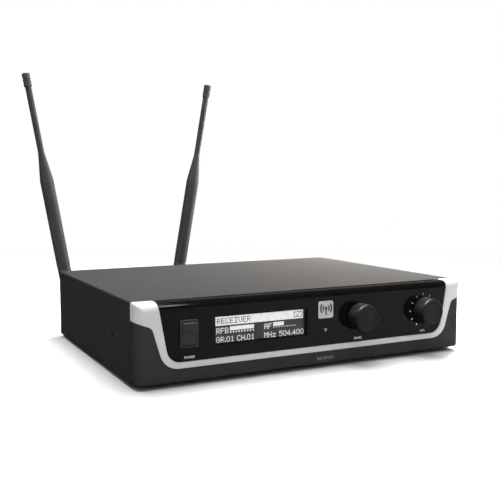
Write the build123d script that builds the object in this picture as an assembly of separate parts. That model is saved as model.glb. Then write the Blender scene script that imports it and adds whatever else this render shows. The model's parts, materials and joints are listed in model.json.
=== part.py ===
from build123d import *
import math
import os

# Half-rack wireless receiver: a sheet-metal case with a moulded front, two folding whip antennas
# behind it, and its boards, sockets and controls inside.  All sizes are in millimetres.
# Layout frame: X = 0 on the case's middle plane, Y = 0 just in front of the tray's front wall with Y
# growing to the rear, Z = 0 at the underside of the base.  FRAME_SHIFT moves every finished piece so
# that the origin is under the middle of the whole unit, in the plane that its feet stand on.

os.makedirs("parts", exist_ok=True)

# ---- driving dimensions ----
CASE_WIDTH = 212.0
CASE_HEIGHT = 42.6
COVER_DEPTH = 149.0
COVER_FRONT = -1.8
FRONT_DEPTH = 11.0
SHEET = 1.2
COVER_BEND_RADIUS = 1.0
FRONT_CORNER_RADIUS = 5.0
FOOT_HEIGHT = 1.8
FRAME_SHIFT = (8.8, -78.4, FOOT_HEIGHT)

# the layers of the moulded front, as insets from the front's outer skin
BEZEL_INSET = 0.2
FASCIA_INSET = 0.6
FASCIA_TOP_INSET = 0.1
BACKING_INSET = 2.2
BEZEL_BOTTOM = 0.6
BEZEL_HEM_RADIUS = 1.3
CAVITY_INSET = 4.2
FRONT_SEAM = 1.9
FASCIA_GAP = 0.12

# the silver U's two outlines seen from the front: a level line and a sloping line on each side
TRIM_LOW = 8.0
TRIM_HIGH = 11.05
TRIM_OUTER_FOOT = (88.74, 0.30)
TRIM_INNER_FOOT = (86.82, 0.18)
TRIM_WING_CORNER = (97.64, 29.95)
TRIM_WING_SLOPE = 0.388

# controls and windows on the front, as X and Z of their centres
CONTROL_HEIGHT = 25.7
FUNC_X = 28.15
VOLUME_X = 76.05
SWITCH_X = -77.8
SWITCH_Z = 25.7
WINDOW_CENTRE = (-34.9, 25.75)
WINDOW_SIZE = (57.2, 15.5)
BADGE_CENTRE = (5.7, 31.5)
BADGE_SIZE = (9.9, 9.7)
INFRARED_CENTRE = (5.3, 14.6)
INFRARED_RADIUS = 1.2

KNOB_RADIUS = 8.05
KNOB_FRONT = -19.9
KNOB_BACK = -11.2
KNOB_FLUTES = 56
KNOB_EDGE_RADIUS = 1.3
SHAFT_RADIUS = 3.0
BUSHING_RADIUS = 3.5
RUNNING_FIT = 0.05

SWITCH_FRAME = (10.1, 14.4)
SWITCH_BODY = (9.0, 13.6)
ROCKER_WIDTH = 7.6
ROCKER_RADIUS = 6.2
ROCKER_TILT = 9.6

EAR_HOLE_Y = (29.0, 128.0)
EAR_HOLE_Z = 20.8
EAR_HOLE_RADIUS = 2.1

# rear panel
REAR_FACE = COVER_DEPTH - SHEET
SOCKET_HEIGHT = 20.0
XLR_X = 24.0
JACK_X = 56.0
DC_X = 88.0
ANTENNA_HEIGHT = 22.0
ANTENNA_X = {"a": -94.2, "b": -12.4}
ANTENNA_TILT = {"a": -9.8, "b": 10.1}
PIVOT_Y = 171.0

BOARD_TOP = 6.8
BOARD_THICKNESS = 1.6

# depth ranges of the cuts through the front's layers
THROUGH_FRONT = (-FRONT_DEPTH - 3.0, -5.0)
THROUGH_BACKING = (-9.0, -6.0)
THROUGH_FRONT_WALL = (-1.0, 3.0)

# derived planes
HALF = CASE_WIDTH / 2
FASCIA_FRONT = FASCIA_INSET - FRONT_DEPTH
BACKING_FRONT = BACKING_INSET - FRONT_DEPTH
SWITCH_OPENING = (SWITCH_BODY[0] + 0.2, SWITCH_BODY[1] + 0.2)
CAVITY_FRONT = CAVITY_INSET - FRONT_DEPTH
FRONT_BOARD_FACE = -0.3
FRONT_WALL_FACE = 0.2
WALL_INSIDE = HALF - SHEET
REAR_INSIDE = REAR_FACE - SHEET


def span(x, y, z):
    """A box from its limits, each a pair (low, high)."""
    middle = [(low + high) / 2 for low, high in (x, y, z)]
    size = [high - low for low, high in (x, y, z)]
    return Pos(*middle) * Box(*size)


def rod_y(x, z, y, radius):
    return Pos(x, (y[0] + y[1]) / 2, z) * Rot(90, 0, 0) * Cylinder(radius, y[1] - y[0])


def rod_x(y, z, x, radius):
    return Pos((x[0] + x[1]) / 2, y, z) * Rot(0, 90, 0) * Cylinder(radius, x[1] - x[0])


def rod_z(x, y, z, radius):
    return Pos(x, y, (z[0] + z[1]) / 2) * Cylinder(radius, z[1] - z[0])


def front_prism(sketch, y):
    """A sketch drawn as seen from the front (X across, Z up), extruded between two Y planes."""
    return extrude(Plane.XZ.offset(-y[1]) * sketch, amount=y[1] - y[0])


def side_prism(sketch, x):
    """A sketch drawn as seen from the right (Y across, Z up), extruded between two X planes."""
    return extrude(Plane.YZ.offset(x[0]) * sketch, amount=x[1] - x[0])


def round_corners(sketch, choose, radius):
    return fillet([v for v in sketch.vertices() if choose(v.X, v.Y)], radius)


def outline(points):
    return make_face(Polyline(*points, close=True))


def plate(centre, size, y, radius):
    """A plate facing the front, with rounded corners."""
    return front_prism(Pos(*centre) * RectangleRounded(*size, radius), y)


def hexagon(x, z, y, across_flats, bore):
    nut = front_prism(Pos(x, z) * RegularPolygon(across_flats / 2, 6, major_radius=False), y)
    return nut - rod_y(x, z, (y[0] - 1, y[1] + 1), bore)


def joined(pieces):
    total = pieces[0]
    for piece in pieces[1:]:
        total = total + piece
    return total


def mirrored_pair(piece):
    return [piece, mirror(piece, about=Plane.YZ)]


def write(name, shape):
    """Move a piece, or a list of separate like pieces, into the part's frame and store it."""
    solids = [s for item in (shape if isinstance(shape, list) else [shape]) for s in item.solids()]
    moved = [Pos(*FRAME_SHIFT) * solid for solid in solids]
    export_step(moved[0] if len(moved) == 1 else Compound(children=moved), f"parts/{name}.step")


# ---- the sheet-metal case ----


def top_cover():
    """Inverted U of steel sheet with a short lip folded down behind the rear wall."""
    outer = Pos(0, CASE_HEIGHT / 2) * Rectangle(CASE_WIDTH, CASE_HEIGHT)
    outer = round_corners(outer, lambda x, z: z > 1, COVER_BEND_RADIUS)
    inner = Pos(0, (CASE_HEIGHT - SHEET) / 2) * Rectangle(CASE_WIDTH - 2 * SHEET, CASE_HEIGHT - SHEET)
    cover = front_prism(outer - inner, (COVER_FRONT, COVER_DEPTH))
    lip = span((-WALL_INSIDE, WALL_INSIDE), (REAR_FACE, COVER_DEPTH), (LIP_BOTTOM, CASE_HEIGHT - SHEET))
    cover = cover + lip
    for x in COVER_SCREW_X:
        cover = cover - rod_y(x, COVER_SCREW_Z, (REAR_FACE - 1, COVER_DEPTH + 1), 1.6)
    for y in EAR_HOLE_Y:
        cover = cover - rod_x(y, EAR_HOLE_Z, (-HALF - 1, HALF + 1), EAR_HOLE_RADIUS)
    return cover


COVER_SCREW_X = (-70.0, 4.0, 72.0)
COVER_SCREW_Z = 39.3
LIP_BOTTOM = 36.8


def cover_screws():
    screws = []
    for x in COVER_SCREW_X:
        head = rod_y(x, COVER_SCREW_Z, (COVER_DEPTH, COVER_DEPTH + 1.4), 2.4)
        head = fillet(head.edges().group_by(Axis.Y)[-1], 0.7)
        recess = Pos(x, COVER_DEPTH + 1.0, COVER_SCREW_Z)
        cross = recess * Box(2.6, 1.4, 0.6) + recess * Box(0.6, 1.4, 2.6)
        shank = rod_y(x, COVER_SCREW_Z, (COVER_DEPTH - 6, COVER_DEPTH), 1.45)
        screws.append(head - cross + shank)
    return screws


BEZEL_BOSSES = [(x, z) for x in (-97.8, 97.8) for z in (7.0, 35.6)]
FRONT_OPENING_X = (-93.0, 93.0)
FRONT_OPENING_Z = (4.0, 39.2)
FLANGE_HEIGHT = 30.0


def chassis_base():
    """Folded tray: floor, front and rear walls, and side flanges that carry the ear nuts."""
    side = WALL_INSIDE - 0.1
    floor = span((-side, side), (COVER_FRONT + 0.1, REAR_FACE), (0, SHEET))
    rear = span((-side, side), (REAR_INSIDE, REAR_FACE), (0, CASE_HEIGHT - SHEET - 0.1))
    wall = (FRONT_WALL_FACE, FRONT_WALL_FACE + SHEET)
    front = span((-side, side), wall, (0, CASE_HEIGHT - SHEET - 0.3))
    front = front - span(FRONT_OPENING_X, THROUGH_FRONT_WALL, FRONT_OPENING_Z)
    flanges = mirrored_pair(span((side - SHEET, side), (3, REAR_INSIDE - 1.5), (0, FLANGE_HEIGHT)))
    tray = joined([floor, rear, front] + flanges)
    for y in EAR_HOLE_Y:
        tray = tray - rod_x(y, EAR_HOLE_Z, (-HALF, HALF), EAR_HOLE_RADIUS)
    for x, z in BEZEL_BOSSES:
        tray = tray - rod_y(x, z, THROUGH_FRONT_WALL, 1.6)
    for x in COVER_SCREW_X:
        tray = tray - rod_y(x, COVER_SCREW_Z, (REAR_INSIDE - 1, REAR_FACE + 1), 1.5)
    through = (REAR_INSIDE - 1, REAR_FACE + 1)
    for x in ANTENNA_X.values():
        tray = tray - rod_y(x, ANTENNA_HEIGHT, through, SOCKET_THREAD_RADIUS + 0.1)
    tray = tray - rod_y(XLR_X, SOCKET_HEIGHT, through, XLR_BODY_RADIUS + 0.2)
    tray = tray - rod_y(JACK_X, SOCKET_HEIGHT, through, JACK_THREAD_RADIUS + 0.1)
    tray = tray - rod_y(DC_X, SOCKET_HEIGHT, through, DC_BODY_RADIUS + 0.1)
    for x, z in XLR_SCREWS:
        tray = tray - rod_y(x, z, through, 1.5)
    return tray


def rack_ear_nuts():
    """Clinch nuts behind the side holes, where a rack ear screws on."""
    nuts = []
    inner = WALL_INSIDE - 0.1 - SHEET
    for y in EAR_HOLE_Y:
        sketch = Pos(y, EAR_HOLE_Z) * RegularPolygon(3.6, 6, major_radius=False)
        nut = side_prism(sketch, (inner - 4.0, inner)) - rod_x(y, EAR_HOLE_Z, (90, 110), EAR_HOLE_RADIUS)
        nuts.extend(mirrored_pair(nut))
    return nuts


def rubber_feet():
    feet = []
    for x in (-88.0, 88.0):
        for y in (12.0, 136.0):
            foot = rod_z(x, y, (-FOOT_HEIGHT, 0), 6.5)
            feet.append(chamfer(foot.edges().group_by(Axis.Z)[0], 0.4))
    return feet


# ---- the moulded front ----


def front_skin(inset, bottom=0.0, top_inset=None):
    """The front's rounded block, shrunk inwards from its outer skin."""
    half = HALF - inset
    top = CASE_HEIGHT - (inset if top_inset is None else top_inset)
    block = span((-half, half), (inset - FRONT_DEPTH, -FRONT_SEAM), (bottom, top))
    corners = block.edges().filter_by(Axis.Z).group_by(Axis.Y)[0]
    brow = block.edges().filter_by(Axis.X).group_by(Axis.Z)[-1].sort_by(Axis.Y)[0:1]
    block = fillet(corners + brow, FRONT_CORNER_RADIUS - inset)
    bend = COVER_BEND_RADIUS - inset
    if bend > 0.2:
        top_sides = block.edges().filter_by(Axis.Y).group_by(Axis.Z)[-1]
        block = fillet(top_sides, bend)
    if bottom > 0:
        hem = [e for e in block.edges().group_by(Axis.Z)[0] if e.center().Y < -FRONT_SEAM - 1]
        block = fillet(hem, BEZEL_HEM_RADIUS)
    return block


def trim_outer_outline():
    foot = TRIM_OUTER_FOOT[0] + TRIM_OUTER_FOOT[1] * TRIM_LOW
    wing_x, wing_z = TRIM_WING_CORNER
    side = HALF + 3
    wing_end = wing_z + TRIM_WING_SLOPE * (side - wing_x)
    right = [(foot, TRIM_LOW), (wing_x, wing_z), (side, wing_end), (side, CASE_HEIGHT + 2)]
    left = [(-x, z) for x, z in reversed(right)]
    face = outline(right + left)
    face = round_corners(face, lambda x, z: z < TRIM_LOW + 1, 10.5)
    return round_corners(face, lambda x, z: abs(z - wing_z) < 0.1, 4.0)


def trim_inner_outline(shrink=0.0):
    low = TRIM_HIGH + shrink
    high = CASE_HEIGHT + 4
    base, slope = TRIM_INNER_FOOT
    right = [(base + slope * low - shrink, low), (base + slope * high - shrink, high)]
    left = [(-x, z) for x, z in reversed(right)]
    return round_corners(outline(right + left), lambda x, z: z < low + 1, 8.0 - shrink)


def silver_trim():
    y = (-FRONT_DEPTH - 1, 0)
    ring = front_prism(trim_outer_outline(), y) - front_prism(trim_inner_outline(), y)
    return (front_skin(0.0) - front_skin(BACKING_INSET, bottom=-1)) & ring


def fascia_panel():
    """The gloss panel inside the U, with openings for everything that comes through it."""
    y = (-FRONT_DEPTH - 1, 0)
    panel = front_skin(FASCIA_INSET, top_inset=FASCIA_TOP_INSET) - front_skin(BACKING_INSET, bottom=-1)
    panel = panel & front_prism(trim_inner_outline(FASCIA_GAP), y)
    panel = panel - plate(WINDOW_CENTRE, WINDOW_SIZE, THROUGH_FRONT, 0.8)
    panel = panel - plate((SWITCH_X, SWITCH_Z), SWITCH_OPENING, THROUGH_FRONT, 0.5)
    for x in (FUNC_X, VOLUME_X):
        panel = panel - rod_y(x, CONTROL_HEIGHT, THROUGH_FRONT, BUSHING_RADIUS + 0.1)
    return panel - rod_y(*INFRARED_CENTRE, THROUGH_FRONT, INFRARED_RADIUS)


BOARD_POSTS = [(-60.0, 8.8), (88.0, 8.8), (4.0, 35.4), (88.0, 35.4)]


def front_bezel():
    """The moulding behind the trim and fascia, whose lower face and cheeks stay visible."""
    y = (-FRONT_DEPTH - 1, 0)
    rim = front_skin(BEZEL_INSET, bottom=BEZEL_BOTTOM) - front_prism(trim_outer_outline(), y)
    body = rim + front_skin(BACKING_INSET, bottom=BEZEL_BOTTOM)
    half = HALF - CAVITY_INSET
    cavity_z = (BEZEL_BOTTOM + 2.2, CASE_HEIGHT - CAVITY_INSET)
    body = body - span((-half, half), (CAVITY_FRONT, 1), cavity_z)
    body = body - plate(OLED_CENTRE, (OLED_SIZE[0] + 0.4, OLED_SIZE[1] + 0.4), THROUGH_BACKING, 0.3)
    body = body - plate((SWITCH_X, SWITCH_Z), SWITCH_OPENING, THROUGH_BACKING, 0.5)
    for x in (FUNC_X, VOLUME_X):
        body = body - rod_y(x, CONTROL_HEIGHT, THROUGH_BACKING, BUSHING_RADIUS + 0.1)
    body = body - rod_y(*INFRARED_CENTRE, THROUGH_BACKING, INFRARED_RADIUS)
    for x, z in BEZEL_BOSSES:
        body = body + rod_y(x, z, (CAVITY_FRONT - 0.5, FRONT_WALL_FACE), 3.2)
        body = body - rod_y(x, z, (CAVITY_FRONT, 1), 1.2)
    for x, z in BOARD_POSTS:
        body = body + rod_y(x, z, (CAVITY_FRONT - 0.5, FRONT_BOARD_FACE), 2.4)
        body = body - rod_y(x, z, (CAVITY_FRONT, 0), 1.0)
    return body


def bezel_screws():
    screws = []
    for x, z in BEZEL_BOSSES:
        seat = FRONT_WALL_FACE + SHEET
        head = rod_y(x, z, (seat, seat + 1.6), 2.6)
        head = fillet(head.edges().group_by(Axis.Y)[-1], 0.6)
        screws.append(head + rod_y(x, z, (-5.5, seat), 1.15))
    return screws


def badge_plate():
    badge = plate(BADGE_CENTRE, BADGE_SIZE, (FASCIA_FRONT - 0.5, FASCIA_FRONT), 1.2)
    return chamfer(badge.edges().group_by(Axis.Y)[0], 0.2)


def infrared_window():
    window = rod_y(*INFRARED_CENTRE, (FASCIA_FRONT + 0.05, CAVITY_FRONT - 1.2), INFRARED_RADIUS - 0.02)
    return window


def infrared_led():
    x, z = INFRARED_CENTRE
    body = rod_y(x, z, (CAVITY_FRONT + 0.5, FRONT_BOARD_FACE), INFRARED_RADIUS - 0.1)
    return fillet(body.edges().group_by(Axis.Y)[0], INFRARED_RADIUS - 0.3)


# ---- the display ----

OLED_CENTRE = (-34.8, 25.55)
OLED_SIZE = (62.0, 24.0)


def display_window():
    size = (WINDOW_SIZE[0] - 0.1, WINDOW_SIZE[1] - 0.1)
    return plate(WINDOW_CENTRE, size, (FASCIA_FRONT + 0.1, BACKING_FRONT - 0.2), 0.75)


def oled_panel():
    return plate(OLED_CENTRE, OLED_SIZE, (BACKING_FRONT + 0.1, CAVITY_FRONT), 0.3)


def oled_carrier():
    """Plastic frame that holds the display panel off the front board."""
    y = (CAVITY_FRONT, FRONT_BOARD_FACE)
    frame = plate(OLED_CENTRE, (OLED_SIZE[0] - 1, OLED_SIZE[1] - 1), y, 0.5)
    return frame - plate(OLED_CENTRE, (OLED_SIZE[0] - 5, OLED_SIZE[1] - 5), (y[0] - 1, y[1] + 1), 0.5)


def front_board():
    board = span((-69, 91.5), (FRONT_BOARD_FACE, FRONT_BOARD_FACE + BOARD_THICKNESS), (6.0, 38.0))
    for x, z in BOARD_POSTS:
        board = board - rod_y(x, z, (-2, 3), 1.2)
    return board


def front_board_screws():
    screws = []
    back = FRONT_BOARD_FACE + BOARD_THICKNESS
    for x, z in BOARD_POSTS:
        screws.append(rod_y(x, z, (back, back + 1.3), 2.0) + rod_y(x, z, (-5.0, back), 0.95))
    return screws


# ---- the power switch ----

SWITCH_FRONT = FASCIA_FRONT - 1.5
SWITCH_BACK = 2.6
SWITCH_MOUTH_Y = (-14.0, -3.5)


def switch_housing():
    centre = (SWITCH_X, SWITCH_Z)
    flange = plate(centre, SWITCH_FRAME, (SWITCH_FRONT, FASCIA_FRONT), 0.8)
    flange = fillet(flange.edges().group_by(Axis.Y)[0], 0.4)
    housing = flange + plate(centre, SWITCH_BODY, (FASCIA_FRONT, SWITCH_BACK), 0.4)
    mouth = ROCKER_WIDTH / 2 + 0.15
    reach = ROCKER_RADIUS + 0.2
    housing = housing - span(
        (SWITCH_X - mouth, SWITCH_X + mouth), SWITCH_MOUTH_Y, (SWITCH_Z - reach, SWITCH_Z + reach))
    pivot = 0.9 + RUNNING_FIT
    return housing - rod_x(FASCIA_FRONT, SWITCH_Z, (SWITCH_X - 4.3, SWITCH_X + 4.3), pivot)


def power_rocker():
    """Rocker with round ends about its pivot and a shallow V front, tipped top end outwards."""
    front = 1.9
    back = 2.0
    half = math.sqrt(ROCKER_RADIUS**2 - front**2)
    crown = outline([(-front, -half), (-1.5, 0), (-front, half), (-front, 9), (back, 9),
                     (back, -9), (-front, -9)])
    profile = Circle(ROCKER_RADIUS) & crown
    leg = Pos(back + 1.5, 0) * Rectangle(4.0, 2.6)
    body = side_prism(profile + leg, (-ROCKER_WIDTH / 2, ROCKER_WIDTH / 2))
    body = body + rod_x(0, 0, (-4.2, 4.2), 0.9)
    return Pos(SWITCH_X, FASCIA_FRONT, SWITCH_Z) * Rot(ROCKER_TILT, 0, 0) * body


def switch_terminals():
    blades = []
    for z in (SWITCH_Z - 3.5, SWITCH_Z + 3.5):
        blade = span((SWITCH_X - 2.4, SWITCH_X + 2.4), (SWITCH_BACK, 9.2), (z - 0.4, z + 0.4))
        blades.append(blade - rod_z(SWITCH_X, 6.8, (z - 1, z + 1), 0.9))
    return blades


# ---- the two turning controls ----

SHAFT_FRONT = KNOB_FRONT + 1.7
NUT_FRONT = FASCIA_FRONT - 1.6
CONTROL_BODY = 12.6
ROTOR_CAVITY = (-6.0, -1.0)


def knob(x):
    """Fluted knob with a plain rim, a dished face and a hollow back that clears the nut."""
    teeth = []
    for i in range(2 * KNOB_FLUTES):
        radius = KNOB_RADIUS - (0.22 if i % 2 else 0.0)
        angle = math.pi * i / KNOB_FLUTES
        teeth.append((x + radius * math.cos(angle), CONTROL_HEIGHT + radius * math.sin(angle)))
    rim_back = KNOB_FRONT + KNOB_EDGE_RADIUS + 0.3
    grip = front_prism(outline(teeth), (rim_back, KNOB_BACK))
    rim = rod_y(x, CONTROL_HEIGHT, (KNOB_FRONT, rim_back), KNOB_RADIUS - 0.1)
    rim = fillet(rim.edges().group_by(Axis.Y)[0], KNOB_EDGE_RADIUS)
    body = grip + rim
    dish = Pos(x, KNOB_FRONT - 0.25, CONTROL_HEIGHT) * Rot(90, 0, 0) * Cone(5.8, 6.4, 1.3)
    body = body - dish
    body = body - rod_y(x, CONTROL_HEIGHT, (KNOB_BACK - 3.2, 0), 6.3)
    return body - shaft_body(x, SHAFT_RADIUS + 0.02, (SHAFT_FRONT, 0))


def shaft_body(x, radius, y):
    """A round shaft with one flat, as it is seen along Y."""
    shaft = rod_y(x, CONTROL_HEIGHT, y, radius)
    flat = 1.5 + radius - SHAFT_RADIUS
    return shaft - span((x - 5, x + 5), (y[0] - 1, y[1] + 1), (CONTROL_HEIGHT + flat, CONTROL_HEIGHT + 5))


def func_shaft():
    """Push-and-turn shaft: flatted for the knob, round in the bushing, flatted in the rotor."""
    tip = shaft_body(FUNC_X, SHAFT_RADIUS, (SHAFT_FRONT, NUT_FRONT))
    middle = rod_y(FUNC_X, CONTROL_HEIGHT, (NUT_FRONT, -6.3), SHAFT_RADIUS)
    return tip + middle + shaft_body(FUNC_X, SHAFT_RADIUS, (-6.3, -1.8))


def volume_shaft():
    """Shaft of the volume control with its wiper disc."""
    tip = shaft_body(VOLUME_X, SHAFT_RADIUS, (SHAFT_FRONT, NUT_FRONT))
    middle = rod_y(VOLUME_X, CONTROL_HEIGHT, (NUT_FRONT, -2.2), SHAFT_RADIUS)
    return tip + middle + rod_y(VOLUME_X, CONTROL_HEIGHT, (-5.0, -3.6), 4.8)


def encoder_rotor():
    disc = rod_y(FUNC_X, CONTROL_HEIGHT, (-5.2, -2.2), 5.0)
    return disc - shaft_body(FUNC_X, SHAFT_RADIUS + RUNNING_FIT, (-7, 0))


def control_body(x):
    """Square can with a threaded bushing that comes through the bezel and fascia."""
    half = CONTROL_BODY / 2
    can = span((x - half, x + half), (CAVITY_FRONT, FRONT_BOARD_FACE),
               (CONTROL_HEIGHT - half, CONTROL_HEIGHT + half))
    body = can + rod_y(x, CONTROL_HEIGHT, (NUT_FRONT + 0.2, CAVITY_FRONT + 0.5), BUSHING_RADIUS)
    body = body - rod_y(x, CONTROL_HEIGHT, ROTOR_CAVITY, 5.3)
    return body - rod_y(x, CONTROL_HEIGHT, (-15, -5), SHAFT_RADIUS + RUNNING_FIT)


def control_nut(x):
    return hexagon(x, CONTROL_HEIGHT, (NUT_FRONT, FASCIA_FRONT), 10.0, BUSHING_RADIUS + 0.02)


# ---- boards and screening inside ----

STANDOFFS = [(x, y) for x in (-92.0, 0.0, 92.0) for y in (18.0, 118.0)]


def main_board():
    board = span((-98, 98), (12, 126), (BOARD_TOP - BOARD_THICKNESS, BOARD_TOP))
    for x, y in STANDOFFS:
        board = board - rod_z(x, y, (0, 10), 1.6)
    return board


def board_standoffs():
    posts = []
    for x, y in STANDOFFS:
        post = rod_z(x, y, (SHEET, BOARD_TOP - BOARD_THICKNESS), 3.0)
        posts.append(post - rod_z(x, y, (SHEET + 1, 10), 1.25))
    return posts


def board_screws():
    screws = []
    for x, y in STANDOFFS:
        head = rod_z(x, y, (BOARD_TOP, BOARD_TOP + 1.8), 2.7)
        head = fillet(head.edges().group_by(Axis.Z)[-1], 0.6)
        screws.append(head + rod_z(x, y, (SHEET + 1.4, BOARD_TOP), 1.2))
    return screws


def tuner_shield(x):
    """Open-bottomed tinned can over one receiver circuit."""
    can = span((x - 22, x + 22), (66, 110), (BOARD_TOP, BOARD_TOP + 9))
    return can - span((x - 21.6, x + 21.6), (66.4, 109.6), (BOARD_TOP - 1, BOARD_TOP + 8.6))


def antenna_leads():
    """Thin coaxial leads from each antenna socket down to its tuner can."""
    leads = []
    for name, x in ANTENNA_X.items():
        run = LEAD_END_Y
        path = FilletPolyline((x, SOCKET_BACK, ANTENNA_HEIGHT), (x, run, ANTENNA_HEIGHT),
                              (x, run, BOARD_TOP + 9), radius=4.0)
        section = Plane(origin=(x, SOCKET_BACK, ANTENNA_HEIGHT), z_dir=(0, -1, 0)) * Circle(1.1)
        leads.append(sweep(section, path=path))
    return leads


def flat_cable():
    """Flat cable folded from the front board down to the main board."""
    back = FRONT_BOARD_FACE + BOARD_THICKNESS
    strip = outline([(back, 13.8), (17.6, 13.8), (17.6, BOARD_TOP), (18.0, BOARD_TOP),
                     (18.0, 14.2), (back, 14.2)])
    strip = round_corners(strip, lambda y, z: abs(y - 17.6) < 0.1 and z > 13, 1.6)
    strip = round_corners(strip, lambda y, z: abs(y - 18.0) < 0.1 and z > 14, 2.0)
    return side_prism(strip, (10, 30))


# ---- rear sockets ----

XLR_BODY_RADIUS = 11.6
XLR_BORE_RADIUS = 8.0
XLR_FLOOR = 137.5
XLR_FLANGE = 1.6
XLR_SCREWS = [(XLR_X - 9.5, SOCKET_HEIGHT + 12.0), (XLR_X + 9.5, SOCKET_HEIGHT - 12.0)]
XLR_PINS = [(XLR_X - 4.0, SOCKET_HEIGHT + 1.2), (XLR_X + 4.0, SOCKET_HEIGHT + 1.2),
            (XLR_X, SOCKET_HEIGHT - 4.4)]
XLR_PIN_RADIUS = 1.2


def xlr_shell():
    """Metal shell with a flange outside the rear wall and a deep round mouth."""
    face = REAR_FACE + XLR_FLANGE
    flange = plate((XLR_X, SOCKET_HEIGHT), (26, 31), (REAR_FACE, face), 2.5)
    flange = chamfer(flange.edges().group_by(Axis.Y)[-1], 0.4)
    shell = flange + rod_y(XLR_X, SOCKET_HEIGHT, (XLR_FLOOR - 3.5, REAR_FACE), XLR_BODY_RADIUS)
    shell = shell - rod_y(XLR_X, SOCKET_HEIGHT, (XLR_FLOOR - 5, face + 1), XLR_BORE_RADIUS)
    for x, z in XLR_SCREWS:
        shell = shell - rod_y(x, z, (REAR_FACE - 1, face + 1), 1.6)
    return shell


def xlr_insert():
    disc = rod_y(XLR_X, SOCKET_HEIGHT, (XLR_FLOOR - 3.5, XLR_FLOOR), XLR_BORE_RADIUS - 0.02)
    for x, z in XLR_PINS:
        disc = disc - rod_y(x, z, (XLR_FLOOR - 5, XLR_FLOOR + 1), XLR_PIN_RADIUS + 0.02)
    return disc


def xlr_pins():
    pins = []
    for x, z in XLR_PINS:
        pin = rod_y(x, z, (XLR_FLOOR - 7, REAR_FACE - 0.5), XLR_PIN_RADIUS)
        pins.append(fillet(pin.edges().group_by(Axis.Y)[-1], 0.9))
    return pins


def xlr_screws():
    screws = []
    face = REAR_FACE + XLR_FLANGE
    for x, z in XLR_SCREWS:
        head = rod_y(x, z, (face, face + 1.3), 2.5)
        head = fillet(head.edges().group_by(Axis.Y)[-1], 0.6)
        recess = Pos(x, face + 1.0, z)
        cross = recess * Box(2.4, 1.2, 0.6) + recess * Box(0.6, 1.2, 2.4)
        screws.append(head - cross + rod_y(x, z, (REAR_INSIDE - 3, face), 1.45))
    return screws


JACK_THREAD_RADIUS = 4.7
JACK_BORE_RADIUS = 3.2
JACK_FACE = REAR_FACE + 3.2
JACK_DEPTH = 29.0


def jack_body():
    """6.35 mm jack: a moulded block behind the wall and a threaded nose through it."""
    half = 8.0
    block = span((JACK_X - half, JACK_X + half), (JACK_FACE - JACK_DEPTH - 3, REAR_INSIDE),
                 (SOCKET_HEIGHT - half, SOCKET_HEIGHT + half))
    body = block + rod_y(JACK_X, SOCKET_HEIGHT, (REAR_INSIDE - 1, JACK_FACE), JACK_THREAD_RADIUS)
    bore = rod_y(JACK_X, SOCKET_HEIGHT, (JACK_FACE - JACK_DEPTH, JACK_FACE + 1), JACK_BORE_RADIUS)
    return body - bore


def jack_nut():
    return hexagon(JACK_X, SOCKET_HEIGHT, (REAR_FACE, REAR_FACE + 2.2), 12.5, JACK_THREAD_RADIUS + 0.02)


DC_BODY_RADIUS = 5.6
DC_FACE = REAR_FACE + 1.6
DC_DEPTH = 9.5
DC_PIN_RADIUS = 1.05


def dc_inlet():
    """Low-voltage inlet with a round flange outside the wall."""
    y_floor = DC_FACE - DC_DEPTH
    flange = rod_y(DC_X, SOCKET_HEIGHT, (REAR_FACE, DC_FACE), 7.0)
    flange = fillet(flange.edges().group_by(Axis.Y)[-1], 0.5)
    body = flange + rod_y(DC_X, SOCKET_HEIGHT, (y_floor - 3, REAR_FACE), DC_BODY_RADIUS)
    body = body - rod_y(DC_X, SOCKET_HEIGHT, (y_floor, DC_FACE + 1), 3.1)
    return body - rod_y(DC_X, SOCKET_HEIGHT, (y_floor - 4, y_floor + 1), DC_PIN_RADIUS - 0.18)


def dc_pin():
    """Centre contact: a full-size free end on a thinner root set in the housing."""
    y_floor = DC_FACE - DC_DEPTH
    free = rod_y(DC_X, SOCKET_HEIGHT, (y_floor, DC_FACE - 0.8), DC_PIN_RADIUS)
    free = fillet(free.edges().group_by(Axis.Y)[-1], 0.5)
    return free + rod_y(DC_X, SOCKET_HEIGHT, (y_floor - 5, y_floor), DC_PIN_RADIUS - 0.2)


# ---- the antennas, each in its own frame ----
# Origin on the fold pivot, Z along the raised whip, X along the fold axis, Y to the rear.

SOCKET_THREAD_RADIUS = 4.8
SOCKET_BACK = 138.0
LEAD_END_Y = 104.0
SOCKET_END = REAR_FACE + 10.4
COLLAR_START = REAR_FACE + 2.8
COLLAR_END = PIVOT_Y - 7.8
COLLAR_RADIUS = 7.0
COLLAR_RIBS = 24
NECK_RADIUS = 3.0
LUG_RADIUS = 0.9
LUG_REACH = SOCKET_THREAD_RADIUS + 0.9
LUG_Y = SOCKET_END - 2.2
FORK_RADIUS = 5.2
FORK_HALF_WIDTH = 4.8
SLOT_HALF_WIDTH = 2.4
TONGUE_HALF_WIDTH = 2.2
TONGUE_RADIUS = 4.6
PIN_RADIUS = 1.5

WHIP_THICK_RADIUS = 4.6
WHIP_THIN_RADIUS = 2.1
GROOVE_DEPTH = 0.4
ROOT_TOP = 20.5
SLEEVE_BOTTOM = 21.1
SLEEVE_TOP = 83.5
TAPER_TOP = 103.4
ROD_TOP = 148.4
WHIP_TIP = 157.7
TIP_RADIUS = 2.65


def antenna_socket(x):
    """Panel socket with its nut, bayonet lugs and a short tail inside."""
    z = ANTENNA_HEIGHT
    body = rod_y(x, z, (SOCKET_BACK, SOCKET_END), SOCKET_THREAD_RADIUS)
    body = body + rod_y(x, z, (SOCKET_BACK, REAR_INSIDE), 6.2)
    body = body + front_prism(Pos(x, z) * RegularPolygon(6.5, 6, major_radius=False),
                              (REAR_FACE, REAR_FACE + 2.3))
    body = body + rod_z(x, LUG_Y, (z - LUG_REACH, z + LUG_REACH), LUG_RADIUS)
    return body - rod_y(x, z, (SOCKET_END - 6.5, SOCKET_END + 1), 3.4)


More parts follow.
